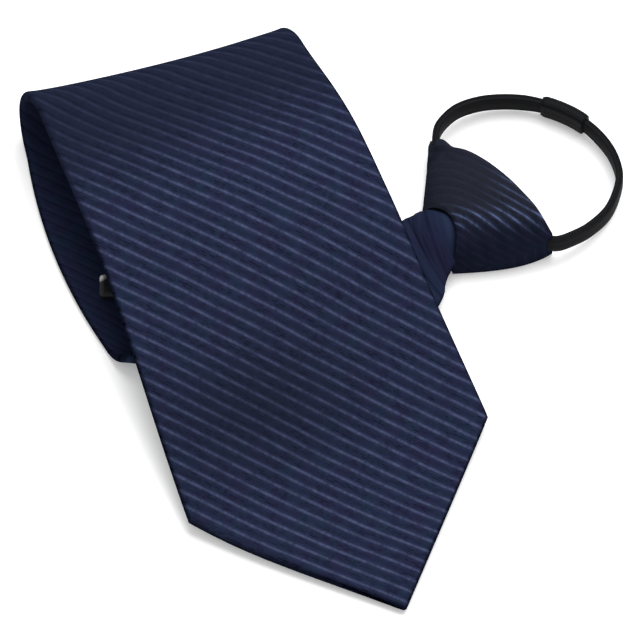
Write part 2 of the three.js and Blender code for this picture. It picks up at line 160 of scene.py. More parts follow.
def soft_step(x, low, high):
    """Nought below low, one above high, and a smooth rise between."""
    t = np.clip((x - low) / (high - low), 0, 1)
    return t * t * (3 - 2 * t)


def bump(x, middle, width):
    """A soft bell that is one at its middle."""
    return np.exp(-(((x - middle) / width) ** 2))


def lengths(points):
    """How far along a run of points each of them lies."""
    return np.concatenate([[0], np.cumsum(np.linalg.norm(np.diff(points, axis=0), axis=1))])


def place_on(centre, direction, offset, z=0.0):
    """Points at offsets from a centre along a plan direction, at height z."""
    p = np.asarray(centre, float) + np.multiply.outer(offset, direction)
    p[..., 2] = z
    return p


def mesh_piece(name, points, faces, uv, material, slot, replaces, **shares):
    """A smooth mesh in the row frame from points in millimetres, with one UV pair for each face corner.
    A satin piece has shares, one number for each point: how far its ribs stand out, partly as painted sheen,
    how far its ground takes the shading hue, for painted light and shade, and how much painted shade darkens
    its folded edges."""
    mesh = bpy.data.meshes.new(name)
    mesh.from_pydata(((points + PLACE) * MM).tolist(), [], faces.tolist())
    layer = mesh.uv_layers.new(name="cloth")
    layer.data.foreach_set("uv", (uv * MM).astype(np.float32).ravel())
    for key, share in shares.items():
        stored = mesh.attributes.new(key, "FLOAT", "POINT")
        stored.data.foreach_set("value", share.astype(np.float32).ravel())
    mesh.polygons.foreach_set("use_smooth", np.ones(len(faces), bool))
    mesh.update()
    piece = bpy.data.objects.new(name, mesh)
    bpy.context.scene.collection.objects.link(piece)
    mesh.materials.append(material)
    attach(piece, "root")
    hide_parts(replaces)
    return piece


def ring_faces(rows, size):
    """Quads between closed rings of the same size, wound so that they face outwards for rings that turn
    clockwise seen from the first one, and a strip of quads over each end."""
    i, j = np.meshgrid(np.arange(rows - 1), np.arange(size), indexing="ij")
    k = (j + 1) % size
    sides = np.stack([i * size + j, i * size + k, (i + 1) * size + k, (i + 1) * size + j], -1).reshape(-1, 4)
    n = np.arange(size // 2 - 1)
    ends = np.stack([n, size - 1 - n, size - 2 - n, n + 1], -1)
    return sides, ends, ends[:, ::-1] + (rows - 1) * size


def closed_rings(points, uv):
    """Faces and face-corner UVs for a grid of rings. uv has one more column than points, for the seam."""
    rows, size = points.shape[:2]
    sides, first, last = ring_faces(rows, size)
    i, j = np.meshgrid(np.arange(rows - 1), np.arange(size), indexing="ij")
    corner = np.stack([uv[i, j], uv[i, j + 1], uv[i + 1, j + 1], uv[i + 1, j]], 2).reshape(-1, 4, 2)
    flat = uv[:, :size].reshape(-1, 2)
    faces = np.concatenate([sides, first, last])
    return points.reshape(-1, 3), faces, np.concatenate([corner, flat[first], flat[last]]).reshape(-1, 2)


# The blade's rows: its two edges, crown, sag, gathers and half the cloth's width at each row
def rows_of(left, right, crown=0.0, back=0.0, gather=0.0, cloth=None):
    """Rows of a strip as arrays of the same length."""
    n = len(left)
    half = np.linalg.norm(right - left, axis=1) / 2 if cloth is None else np.broadcast_to(cloth, n)
    spread = lambda v: np.broadcast_to(np.asarray(v, float), n).copy()
    rows = {"crown": spread(crown), "back": spread(back), "gather": spread(gather)}
    return {"left": left, "right": right, "cloth": half.copy(), **rows}


def joined(*parts):
    """Rows laid one after another."""
    return {key: np.concatenate([p[key] for p in parts]) for key in parts[0]}


along = heading(FRONT_HEADING)
across = heading(FRONT_HEADING - 90)
corner_middle = np.array([*CORNER, 0.0])
roll_middle = corner_middle + along * FRONT_LENGTH
roll_top = BLADE_WALL / 2 + 2 * ROLL_RADIUS_LEFT


def risen(distance):
    """A distance that starts softly from nought."""
    return (distance + np.hypot(distance, SOFT_START)) / 2


def straight_rows(distance, width, sideways=0.0, inset=0.0, outset=0.0, **shape):
    """Rows across the front at distances along it from its corners. Both edges rise to the roll, the left one
    in an even curve, the right one by its table. The edges bow in by inset and out by outset."""
    ones = np.ones(len(distance))
    centre = corner_middle + np.outer(distance, along) + np.outer(sideways * ones, across)
    low = mix(POINT_HEIGHT, CORNER_HEIGHT, np.minimum(1, 1 + distance / POINT_DEPTH))
    share = risen(distance) / risen(FRONT_LENGTH)
    left = centre - np.outer(width / 2 - inset, across)
    right = centre + np.outer(width / 2 + outset, across)
    left[:, 2] = low + (roll_top - CORNER_HEIGHT) * (1 - np.maximum(1 - share, 0) ** LEFT_RISE)
    right[:, 2] = low + (roll_top - CORNER_HEIGHT) * through(share, RIGHT_PLACES, RIGHT_HEIGHTS)
    return rows_of(left, right, **shape)


def front_rows():
    """The point widens in a straight line to the corners, then the front narrows and rises to the roll."""
    share = np.linspace(0.012, 0.985, ROWS["point"])
    sideways = POINT_SHIFT * (1 - share)
    inset = -POINT_BOW * np.sin(np.pi * share**1.5)
    point = straight_rows(POINT_DEPTH * (share - 1), BLADE_WIDTH * share, sideways, inset)
    share = np.linspace(0, 1, ROWS["front"])[:-1]
    width = mix(BLADE_WIDTH, ROLL_WIDTH, share)
    inset = LEFT_BOW * np.sin(np.pi * share**1.3) ** 2
    outset = RIGHT_BOW * np.sin(np.pi * share**2.4) ** 2 + RIGHT_EASE * np.sin(np.pi * share**0.5)
    shape = {"crown": FRONT_CROWN * np.sin(np.pi * share), "back": ROLL_SAG * share**4}
    return joined(point, straight_rows(FRONT_LENGTH * share, width, inset=inset, outset=outset, **shape))


def roll_rows():
    """Each edge goes half round its own circle at the top, and the strip moves left as it goes."""
    share = np.linspace(0, 1, ROWS["roll"])
    sides = []
    for side, radius in ((-1, ROLL_RADIUS_LEFT), (1, ROLL_RADIUS_RIGHT)):
        offset = side * (ROLL_WIDTH / 2 - ROLL_NARROWING * share) - ROLL_SHIFT * share**1.2
        edge = roll_middle + np.outer(offset, across) + np.outer(radius * np.sin(np.pi * share), along)
        edge[:, 2] = BLADE_WALL / 2 + radius * (1 + np.cos(np.pi * share))
        sides.append(edge)
    return rows_of(*sides, back=ROLL_SAG)


curl_along = heading(CURL_HEADING)
curl_out = heading(CURL_HEADING - 90)
curl_left = np.array([*CURL_LEFT, 0.0])
curl_slant = abs(np.sin(np.radians(FRONT_HEADING - 180 - CURL_HEADING)))
curl_right = curl_left + curl_along * UNDER_WIDTH / curl_slant


def curl_rows():
    """At the lower left each edge goes half round its own circle again, and slides along the fold."""
    share = np.linspace(0, 1, ROWS["curl"])
    left = (curl_left, CURL_RADIUS_LEFT, CURL_SLIDES[0])
    right = (curl_right, CURL_RADIUS_RIGHT, CURL_SLIDES[1])
    sides = []
    for start, radius, slide in (left, right):
        around = start + np.outer(radius * np.sin(np.pi * share), curl_out)
        edge = around + np.outer(slide * share, curl_along)
        edge[:, 2] = BLADE_WALL / 2 + radius * (1 - np.cos(np.pi * share))
        sides.append(edge)
    return rows_of(*sides)


def under_rows(roll, curl):
    """A straight run from the roll to the curl on the table, whose left edge bows outwards."""
    share = np.linspace(0, 1, ROWS["under"])[1:-1]
    left = mix(roll["left"][-1], curl["left"][0], share[:, None])
    left -= np.outer(UNDER_BOW * 4 * share * (1 - share), across)
    right = mix(roll["right"][-1], curl["right"][0], share[:, None])
    return rows_of(left, right, back=ROLL_SAG * (1 - share) ** 2)


throat_middle = np.array([*THROAT, 0.0])
throat_across = heading(THROAT_TURN)
throat_away = heading(THROAT_HEADING)


def throat_rows(curl):
    """From the curl the strip runs under the front, arches, gathers and enters the knot. The tables give its
    edges as swings from a straight run, and then as shares of the throat's width and height."""
    half = THROAT_WIDTH / 2 - BLADE_WALL / 2 - CLEARANCE
    out = np.array([0.26, 0.115, -0.03, -0.175, -0.345]) * THROAT_WIDTH
    left_side = half * np.array([1.06, 1.1, 1.12, 1, 0.85])
    right_side = half * np.array([1.68, 1.38, 1.14, 1, 0.85])
    centre = throat_middle + np.outer(out, throat_away)
    left = centre - np.outer(left_side, throat_across)
    right = centre + np.outer(right_side, throat_across)
    left[:, 2] = THROAT_HEIGHT * np.array([0.4, 0.39, 0.38, 0.36, 0.35])
    right[:, 2] = THROAT_HEIGHT * np.array([0.18, 0.32, 0.42, 0.36, 0.29])
    crown = THROAT_HEIGHT * np.array([0.46, 0.52, 0.55, 0.5, 0.4])
    share = np.array([0, 0.15, 0.35, 0.55, 0.72, 0.87])[:, None]
    swing = 4.5 * np.array([[0, 0], [0.1, 0.2], [0.2, 0.55], [0.2, 0.9], [0.1, 0.9], [0, 0.55]])
    run_left = mix(curl["left"][-1], left[0], share) - np.outer(swing[:, 0], across)
    run_right = mix(curl["right"][-1], right[0], share) + np.outer(swing[:, 1], across)
    key_left, key_right = np.concatenate([run_left, left]), np.concatenate([run_right, right])
    key_crown = np.concatenate([crown[0] * np.array([0, 0.04, 0.14, 0.3, 0.52, 0.78]), crown])
    key_gather = np.array([0, 0.1, 0.4, 0.8, 1, 1, 1, 1, 0.6, 0, 0])
    key_cloth = np.concatenate([[27.5, 26, 19, 10, 4, 2], [1.5, 1.5, 1.5, 1.5, 1.5]])
    middle = (key_left + key_right) / 2
    at = lengths(middle)
    s = np.linspace(0, at[-1], ROWS["throat"])[1:]
    edges = [through(s, at, key) for key in (key_left, key_right)]
    extra = [through(s, at, key) for key in (key_crown, key_gather, key_cloth)]
    return rows_of(*edges, crown=extra[0], gather=np.clip(extra[1], 0, 1), cloth=extra[2])


def eased(rows, start, passes=3):
    """Takes the small kinks out of the rows after a start row: each moves half way to the mean of its
    neighbours, once in a pass."""
    for key in ("left", "right", "crown", "back", "gather"):
        for _ in range(passes):
            v = rows[key]
            v[start:-1] = (v[start - 1 : -2] + 2 * v[start:-1] + v[start + 1 :]) / 4
    return rows


def blade_section(half):
    """The wall's section at each row, from half the row's width: places across it, how far they are from the
    edge, and half the wall's thickness there. It is a flat band with round ends, a little fuller along them,
    where the cloth folds."""
    radius = np.minimum(BLADE_WALL / 2, 0.6 * half)
    turn = np.radians(np.linspace(90, 0, 6))
    interior = np.linspace(-1, 1, 72)[1:-1]
    flat = np.outer(half - radius, interior)
    x_left = -(half - radius)[:, None] - np.outer(radius, np.sin(turn))
    x = np.concatenate([x_left, flat, -x_left[:, ::-1]], 1)
    rise = np.concatenate([np.cos(turn), np.ones(len(interior)), np.cos(turn[::-1])])[None, :]
    edge = half[:, None] - np.abs(x)
    fold = 0.1 * bump(edge, 1.2, 1.1) * np.clip(half[:, None] / 12, 0, 1)
    return x, edge, radius[:, None] * rise * (1 + fold)


def blade_shares(x, t, edge, far, gather):
    """How far the ribs stand out on the outer face, how far its ground takes the darker shading hue as
    painted shade, and how much painted shade darkens its folded edges. The ribs fade at the edges and in the
    gathers. As painted shade, they also fade in the last part of the front and in a patch above the point,
    where the ground is painted darker too. The painted edge shade is broader along the point's left side and
    faint at the roll's left end, where a painted highlight stands for the lit edge."""

    def reached(low, high):
        """A soft rise over the front, from one share of its length to another."""
        return soft_step(far, POINT_DEPTH + low * FRONT_LENGTH, POINT_DEPTH + high * FRONT_LENGTH)

    # Painted shade: towards the roll, and in a patch above the point, the ribs dim and the ground takes the
    # darker shading hue.
    top = reached(0.7, 0.95)
    beyond = soft_step(far, POINT_DEPTH + FRONT_LENGTH + 8, POINT_DEPTH + FRONT_LENGTH + 26)
    shaded_patch = bump(far, POINT_DEPTH + 0.2 * FRONT_LENGTH, 16) * bump(x, -12, 26)
    shine = soft_step(edge, 0, 1.3) * ((1 - 0.82 * top) * (1 - 0.75 * gather)) * (1 - 0.55 * shaded_patch)
    even_tone_and_painted_shading = np.maximum(top * (1 - beyond), shaded_patch)
    # Painted shade along the folded edges, broader on the point's left side and eased near the roll's left
    # end, where a painted highlight stands for the lit edge.
    point_side = 1 + 0.9 * (t < 0) * (far < POINT_DEPTH)
    lit_edge = np.clip((t < 0) * (reached(0.6, 0.8) - beyond), 0, 1)
    return shine, even_tone_and_painted_shading, (1 - soft_step(edge / point_side, 0.1, 1.1)) * (1 - 0.85 * lit_edge)


def blade_surface():
    """The whole strip, as rings over its outer face and back along its inner one. The wall's middle is raised
    by the crown, lies back by the sag, and carries gathers and slow waves. A shallow groove runs along the
    middle of the inner face, where the cloth's two edges meet. The inner face's ribs stand out less."""
    roll, curl = roll_rows(), curl_rows()
    strip = joined(front_rows(), roll, under_rows(roll, curl), curl, throat_rows(curl))
    rows = eased(strip, ROWS["point"] + 10)
    rows = eased(rows, len(rows["crown"]) - ROWS["throat"] + 10, 60)
    gather = rows["gather"][:, None]
    half = np.linalg.norm(rows["right"] - rows["left"], axis=1) / 2
    x, edge, z = blade_section(half)
    t = x / half[:, None]
    path = np.gradient(rows["left"] + rows["right"], axis=0)
    face = unit(np.cross(rows["right"] - rows["left"], path))
    arch = rows["crown"][:, None] * (1 - t**2)
    sag = rows["back"][:, None] * (1 - t**2)
    middle = mix(rows["left"][:, None], rows["right"][:, None], ((t + 1) / 2)[..., None])
    middle = middle + arch[..., None] * face[:, None] - sag[..., None] * along
    far = lengths(rows["left"] + rows["right"])[:, None] / 2
    ripple = gathers(t, far, far[-1]) * gather
    wave = 0.16 * np.sin(0.11 * far + 0.05 * x + 1) + 0.1 * np.sin(0.23 * far - 0.09 * x)
    slack = np.clip(edge / 10, 0, 1) * np.clip(far / 20, 0, 1)
    normal = unit(np.cross(np.gradient(middle, axis=1), np.gradient(middle, axis=0)))
    middle = middle + (ripple + wave * slack)[..., None] * normal
    seam = 1 - 0.32 * bump(x, 0, 0.5) * np.clip(far / 30 - 1, 0, 1)
    outer, inner = middle + normal * z[..., None], middle - normal * (z * seam)[..., None]
    ring = np.concatenate([outer, inner[:, -2:0:-1]], 1)
    ring[..., 2] = np.maximum(ring[..., 2], 0.02)
    cloth = t * rows["cloth"][:, None]
    width = 2 * rows["cloth"][:, None]
    back = np.where(t > 0, width - cloth, -width - cloth)
    u = np.concatenate([cloth, back[:, -2:0:-1], cloth[:, :1]], 1)
    uv = np.stack([u, np.broadcast_to(far, u.shape)], -1)
    on_inner_face = (0.4, 1, 1)
    shares = zip(blade_shares(x, t, edge, far, gather), on_inner_face)
    return ring, uv, *(np.concatenate([share, share[:, -2:0:-1] * kept], 1) for share, kept in shares)


def gathers(t, distance, end):
    """Gathers near the throat: soft rolls across the strip, of unequal width, that fan out from the rim."""
    s = end - distance - 3.8 * t + 0.7 * t**2
    fine = 0.03 * np.sin(4.3 * s + 0.5 * t) + 0.012 * np.sin(8.2 * s - 0.6 * t)
    return (0.08 * np.sin(1.75 * s + 0.4) + fine) * (1 - 0.6 * soft_step(t, -0.2, 0.9))


# The knot
def knot_profile(t, share):
    """The section's height over the knot's width, as a share of its own: at the throat a round arch that is
    fuller on the right, where the side is steep, and at the collar end the table's."""
    power = mix(2.2, 3.0, soft_step(t, -0.2, 0.4))
    arch = mix(KNOT_EDGE, 1, np.maximum(1 - np.abs(t) ** power, 0) ** (1 / power))
    return mix(arch[None], through(t, COLLAR_PLACES, COLLAR_HEIGHTS)[None], share[:, None] ** 1.5)


def knot_creases(p, share, t):
    """Small folds in the knot's cloth: tucks round the left tape, creases that fan from the left edge, a
    soft roll along the rim of the throat, and slack waves on the steep right side."""
    x, y = p[..., 0], p[..., 1]
    corner = bump(t, -0.86, 0.2) * bump(share, 0.94, 0.16)
    tucks = 0.25 * corner * np.sin(1.9 * x + 1.1 * y)
    fan = 0.1 * bump(t, -0.84, 0.14) * bump(share, 0.66, 0.18) * np.sin(3.1 * (0.8 * y - 0.55 * x))
    rim = 0.28 * bump(share, 0.075, 0.05) * bump(t, 0, 0.75)
    slack = 0.2 * bump(t, 0.86, 0.16) * np.sin(1.3 * x + 0.6 * y) * soft_step(share, 0.05, 0.3)
    ridge = 0.1 * bump(t, 0.1, 0.5) * np.sin(0.85 * (0.88 * y + 0.5 * x)) * soft_step(share, 0.1, 0.4)
    return tucks + fan + rim + slack + ridge


def tucked_cloth(x, y):
    """The cloth that is tucked round the end of the left tape: two soft lumps and their folds, as heights."""
    large = 9.4 * np.exp(-(((x - 30.4) / 4.8) ** 2) - ((y - 45.5) / 4.2) ** 2)
    small = 5.6 * np.exp(-(((x - 27.0) / 2.2) ** 2) - ((y - 43.4) / 2.2) ** 2)
    folds = 0.16 * np.sin(2.2 * x + 1.4 * y) * bump(x, 30, 4) * bump(y, 45, 4)
    return large, small, folds


def knot_ribs(p):
    """The ribs' place on the knot, in millimetres across them. They rise from the left edge, turn level and
    fall to the right over the ridge and down the steep side, and the lower ones fan out steeper."""
    x, y, z = p[..., 0], p[..., 1], p[..., 2]
    slope_places = np.linspace(20, 65, 91)
    slope = np.interp(slope_places, [25, 30, 35, 40, 60], [0.5, 0.1, -0.35, -0.55, -0.57])
    fall = np.interp(x, slope_places, np.cumsum(slope) * 0.5)
    height = 0.877 * y + 0.48 * z
    return height - fall + 0.3 * np.clip(x - 33, 0, 5) * soft_step(-height, -27, -20)


def knot_surface():
    """A blunt cone from the throat to the collar end. Its section goes over the top from left to right and
    back along a flat underside. The throat's rim stands back in the middle and rolls in to the hollow. The
    ribs fade over the rounded collar end."""
    collar_middle = throat_middle + heading(KNOT_HEADING) * KNOT_LENGTH
    collar_across = heading(COLLAR_TURN)
    outward = heading(COLLAR_TURN + 90)
    inward = -throat_away
    rim_rows, side_rows, end_rows = 5, 110, 16
    share = np.concatenate([np.zeros(rim_rows), np.linspace(0, 1, side_rows), np.ones(end_rows)])
    rim = np.concatenate([np.linspace(1, 0.12, rim_rows), np.zeros(side_rows + end_rows)])
    curve = np.concatenate([np.zeros(rim_rows + side_rows), np.linspace(1 / end_rows, 1, end_rows)])
    scale = 1 - 0.2 * (1 - np.sqrt(np.maximum(1 - curve**2.2, 0)))
    out = KNOT_ROUNDING * np.sin(curve * np.pi / 2)
    t = -np.cos(np.linspace(0, np.pi, 145))
    at_sides = []
    for side in (-1, 1):
        throat = place_on(throat_middle, throat_across, side * THROAT_WIDTH / 2)
        collar = place_on(collar_middle, collar_across, side * COLLAR_WIDTH / 2)
        at_sides.append(mix(throat, collar, share[:, None]))
    left, right = at_sides
    right = right + np.outer(KNOT_BOW * 2.6 * share * (1 - share**2), np.cross(inward, UP))
    corner = COLLAR_CORNER * np.maximum(soft_step(curve, 0, 0.6), 0.4 * share**12)
    right = right - np.outer(corner, collar_across)
    centre = (left + right) / 2
    edge = (right - left) / 2
    height = mix(THROAT_HEIGHT, COLLAR_HEIGHT, share) * scale
    top = height[:, None] * knot_profile(t, share)
    tuck = 1 - 0.16 * rim**2

    def grid(z, width):
        roundness = 1 - t**2
        p = centre[:, None] + (edge * scale[:, None])[:, None] * (t[None, :, None] * width[:, None, None])
        p = p + (out[:, None] * mix(0.4, 1, roundness))[..., None] * outward
        recess = THROAT_RECESS * (1 - share[:, None]) ** 2 + 1.6 * rim[:, None]
        p = p + (recess * roundness)[..., None] * inward
        p[..., 2] = KNOT_REST + z
        return p

    over = grid(top * tuck[:, None], tuck)
    creases = knot_creases(over, share[:, None], t[None]) * (1 - soft_step(curve, 0, 0.7))[:, None]
    normal = unit(np.cross(np.gradient(over, axis=0), np.gradient(over, axis=1)))
    normal *= np.where(normal[..., 2:] < 0, -1, 1)
    over = over + creases[..., None] * normal
    over[..., 2] = np.maximum(over[..., 2], KNOT_REST + 0.02)
    large, small, folds = tucked_cloth(over[..., 0], over[..., 1])
    over[..., 2] = (over[..., 2] ** 4 + large**4 + small**4) ** 0.25 + folds
    under = grid(np.zeros_like(top), tuck)
    ring = np.concatenate([over, under[:, ::-1]], 1)
    ribs = knot_ribs(ring)
    ribs = np.concatenate([ribs, ribs[:, :1]], 1)
    girth = np.concatenate([ring, ring[:, :1]], 1)[..., 0]
    shine, even_tone_and_painted_shading = knot_shares(ring)
    # The collar end is also given the shading hue, as an even grey tone, and its ribs fade.
    collar_end = soft_step(curve, 0.15, 0.7)[:, None]
    shine = shine * (1 - 0.85 * collar_end)
    return ring, np.stack([ribs, girth], -1), shine, np.maximum(even_tone_and_painted_shading, 0.6 * collar_end)


def knot_shares(p):
    """How far the ribs stand out on the knot, as a painted highlight that is strongest along the ridge above
    the steep side, where the light catches them. Also how far its ground takes the lighter shading hue, as
    painted light on the top above the ridge."""
    x, z = p[..., 0], p[..., 2]
    height = 0.877 * p[..., 1] + 0.48 * z
    # Painted highlight along the ridge and on the right above it; the top above the ridge is painted a
    # lighter grey.
    ridge = bump(height, 25.6, 2.3) * soft_step(x, 31, 36)
    right = 0.4 * soft_step(x, 40, 48) * soft_step(height, 25, 27)
    return np.clip(0.04 + ridge + right, 0, 1), soft_step(height, 22, 28)


# The neck loop, the tail and its stop
def on_curve(keys, count, share=None):
    """Points at even lengths on a smooth curve through key points, with the curve's length."""
    at = np.concatenate([[0], np.cumsum(np.sqrt(np.linalg.norm(np.diff(keys, axis=0), axis=1)))])
    fine = through(np.linspace(0, at[-1], 2000), at, keys)
    length = lengths(fine)
    want = np.linspace(*(share or (0, 1)), count) * length[-1]
    return np.stack([np.interp(want, length, fine[:, k]) for k in range(3)], 1), length[-1]


def loop_keys():
    """The neck loop's route, as shares of its span from a point near the knot's collar end."""
    right = [-0.345, -0.345, -0.332, -0.243, -0.125, 0.01, 0.175, 0.32, 0.465]
    right += [0.6, 0.652, 0.65, 0.595, 0.5, 0.416, 0.3, 0.215]
    back = [0.3, 0.36, 0.43, 0.54, 0.599, 0.622, 0.613, 0.569, 0.482]
    back += [0.323, 0.18, 0.1, -0.063, -0.173, -0.234, -0.283, -0.25]
    rise = [1, 0.95, 0.85, 0.6, 0.3, 0.1, 0, 0, 0, 0, 0, 0.03, 0.2, 0.4, 0.65, 0.95, 1]
    x = LOOP_MIDDLE[0] + np.array(right) * LOOP_SPAN
    y = LOOP_MIDDLE[1] + np.array(back) * LOOP_SPAN
    z = STAND_GAP + SLEEVE_WALL + CLEARANCE + TAPE_WIDTH / 2 + np.array(rise) * LOOP_RISE
    return np.stack([x, y, z], 1)


def banded(centre, up, wide, thick, ribs, depth, power=0.22, count=44):
    """A flat band along a centreline: a rounded box section, wide along up and thick across it, with fine
    lengthwise ribs on its two broad faces."""
    up = np.broadcast_to(up, centre.shape)
    side = unit(np.cross(unit(np.gradient(centre, axis=0)), up))
    a = np.linspace(0, 2 * np.pi, count, endpoint=False)
    b = np.sign(np.cos(a)) * np.abs(np.cos(a)) ** power
    c = np.sign(np.sin(a)) * np.abs(np.sin(a)) ** power
    relief = 1 - depth * (0.5 - 0.5 * np.cos(ribs * np.pi * b)) * np.abs(c)
    wide, thick = np.broadcast_to(wide, len(centre)), np.broadcast_to(thick, len(centre))
    broad = (wide[:, None] / 2 * b)[..., None] * up[:, None]
    deep = (thick[:, None] / 2 * c * relief)[..., None] * side[:, None]
    girth = np.linspace(0, 2 * (wide.max() + thick.max()), count + 1)
    uv = np.stack(np.broadcast_arrays(girth[None, :], lengths(centre)[:, None]), -1)
    return centre[:, None] + broad + deep, uv


# Materials: a socket class, so that shader maths reads as expressions
class Value:
    """One shader value; the operators on it add Math nodes."""

    def __init__(self, graph, socket):
        self.graph, self.socket = graph, socket

    def _math(self, kind, *values):
        return self.graph.node("ShaderNodeMath", {"operation": kind}, values)

    def __add__(self, other):
        return self._math("ADD", self, other)

    def __sub__(self, other):
        return self._math("SUBTRACT", self, other)

    def __rsub__(self, other):
        return self._math("SUBTRACT", other, self)

    def __mul__(self, other):
        return self._math("MULTIPLY", self, other)

    def __truediv__(self, other):
        return self._math("DIVIDE", self, other)

    def __rtruediv__(self, other):
        return self._math("DIVIDE", other, self)

    def __pow__(self, other):
        return self._math("POWER", self, other)

    __radd__, __rmul__ = __add__, __mul__

    def sine(self):
        return self._math("SINE", self)

    def part(self):
        return self._math("FRACT", self)

    def size(self):
        return self._math("ABSOLUTE", self)

    def clear(self):
        """Held between nought and one."""
        return self.graph.node("ShaderNodeClamp", {}, [self])


class Finish:
    """A material's node graph with its Principled shader."""

    def __init__(self, name):
        self.material = bpy.data.materials.new(name)
        self.material.use_nodes = True
        self.tree = self.material.node_tree
        self.shader = self.tree.nodes["Principled BSDF"]

    def node(self, kind, settings, inputs=(), out=0):
        """A node of a type, its settings first, then values or links for its sockets."""
        made = self.tree.nodes.new(kind)
        for key, value in settings.items():
            setattr(made, key, value)
        for key, value in inputs.items() if isinstance(inputs, dict) else enumerate(inputs):
            self.feed(made.inputs[key], value)
        return Value(self, made.outputs[out])

    def feed(self, socket, value):
        if isinstance(value, Value):
            self.tree.links.new(value.socket, socket)
        else:
            socket.default_value = value

    def shades(self, first, second, share):
        """A colour between two."""
        settings = {"data_type": "RGBA"}
        return self.node("ShaderNodeMix", settings, {0: share, 6: first, 7: second}, out=2)

    def cloth_place(self):
        """The piece's own UV in metres: across the cloth, then along it."""
        uv = self.node("ShaderNodeUVMap", {"uv_map": "cloth"})
        parts = self.node("ShaderNodeSeparateXYZ", {}, [uv]).socket.node.outputs
        return uv, Value(self, parts[0]), Value(self, parts[1])

    def object_place(self):
        """A point's place in the object's own coordinates."""
        return self.node("ShaderNodeTexCoord", {}, out=3)

    def noise(self, scale, detail=3.0, place=None):
        """Soft noise around a half, on the object's own coordinates unless a place is given."""
        if place is None:
            place = self.object_place()
        return self.node("ShaderNodeTexNoise", {}, {"Scale": scale, "Detail": detail, "Vector": place})

    def patches(self, *place, detail=1.5, contrast=3.0):
        """Noise at a place of two or three values, spread until it runs from nought to one."""
        at = self.node("ShaderNodeCombineXYZ", {}, place)
        return ((self.noise(1.0, detail, at) - 0.5) * contrast + 0.5).clear()

    def stored(self, name):
        """A number that each point of the mesh carries."""
        return self.node("ShaderNodeAttribute", {"attribute_name": name}, out=2)

    def surface(self, colour=None, roughness=None, relief=None, distance=0.0001, strength=1.0, **fixed):
        """The material, with its shader's colour, roughness, relief and fixed values set."""
        if colour is not None:
            self.feed(self.shader.inputs["Base Color"], colour)
        if roughness is not None:
            self.feed(self.shader.inputs["Roughness"], roughness)
        if relief is not None:
            inputs = {"Strength": strength, "Distance": distance, "Height": relief}
            raised = self.node("ShaderNodeBump", {}, inputs)
            self.tree.links.new(raised.socket, self.shader.inputs["Normal"])
        for key, value in fixed.items():
            self.shader.inputs[key.replace("_", " ")].default_value = value
        return self.material


def rgb(r, g, b):
    """A colour from display values of 0 to 255."""
    c = np.array([r, g, b]) / 255
    return (*np.where(c > 0.04045, ((c + 0.055) / 1.055) ** 2.4, c / 12.92), 1.0)


def ridge(phase, middle, width):
    """A straight-sided ridge: one at its middle, nought a width away and beyond."""
    return (1 - (phase - middle).size() / width).clear()


def ribbed_satin(name, across_share, along_share, pitch, hues, shading_hue, rib_hue, groove):
    """Satin with a thin bright rib every pitch, slanting over the cloth, and a faint one between. Each rib
    swells and fades along its length, and how bright the ribs are follows the stored shine, which is partly a
    painted sheen. Between the ribs, in patches, lie fine dark dashed lines. The navy drifts between two hues,
    takes the shading hue as painted light and shade, and has a fine grain. Painted shade darkens a groove
    next to each rib where the ribs are dim, and painted shade darkens the folded edges."""
    f = Finish(name)
    _, u, v = f.cloth_place()
    shine = f.stored("shine")
    w = (u * across_share + v * along_share) / (pitch * MM)
    q = (v * across_share - u * along_share) / (pitch * MM)
    w = w + (f.patches(w * 0.21, q * 0.13, contrast=1.0) - 0.5) * 0.25
    phase = w.part()
    rib = ridge(phase, 0.5, RIB_SHARE)
    rib = rib * rib * (3 - rib * 2)
    swell = f.patches(w * 0.6, q * 0.9, 3.0) * 0.5 + f.patches(w * 2.0, q * 3.2, 8.0) * 0.4 + 0.2
    lines = ((w * (2 * np.pi * DASHED_LINES)).sine() * 0.5 + 0.5) ** 1.5 * (1 - rib)
    dashes = f.patches(w * 4.0, q * 1.9, 1.0, contrast=6.0)
    wear_and_glint = f.patches(w * 0.8, q * 0.45, 5.0, contrast=5.0)
    dark_lines = lines * dashes * (wear_and_glint * 0.8 + 0.2)
    mottle = f.patches(w * 1.6, q * 1.3, 2.0, contrast=2.5)
    hue = f.patches(w * 0.4, q * 0.7, 9.0, contrast=3.0)
    faint_rib = ridge((phase * 2.0).part(), 0.5, RIB_SHARE) * 0.16
    # Painted shade: a dark line in the groove next to each rib, where the ribs are dim.
    groove_shade = ridge(phase, 0.82, 0.13) * (swell * 0.7 + 0.3) * (1 - shine) * groove
    grain = f.patches(w * 8.0, q * 6.0, 4.0, contrast=2.0)
    woven_dark = dark_lines * shine**0.5 * 0.65 + (1 - mottle) * 0.1 + (1 - grain) * 0.12
    # The woven dark lines and grain, with painted shade along the folded edges and in the grooves.
    dark = woven_dark + f.stored("painted_edge_shade") * 0.6 + groove_shade
    # Painted light and shade: the ground takes the shading hue by its stored share. It is darker on the blade
    # near the roll and above the point, and lighter grey on the knot's top.
    ground = f.shades(f.shades(*hues, hue), shading_hue, f.stored("even_tone_and_painted_shading"))
    ground = f.shades(ground, DEEP_NAVY, dark.clear())
    # The ribs' brightness follows the stored shine: it is partly painted sheen, dimmed in painted shade and
    # strongest along the knot's ridge.
    colour = f.shades(ground, rib_hue, ((rib * swell + faint_rib * mottle) * shine).clear())
    height = rib * 0.8 * shine - dark_lines * 0.35 * shine + mottle * 0.1
    return f.surface(colour, 0.6, height, distance=0.00016, strength=0.5, Specular_IOR_Level=0.0)


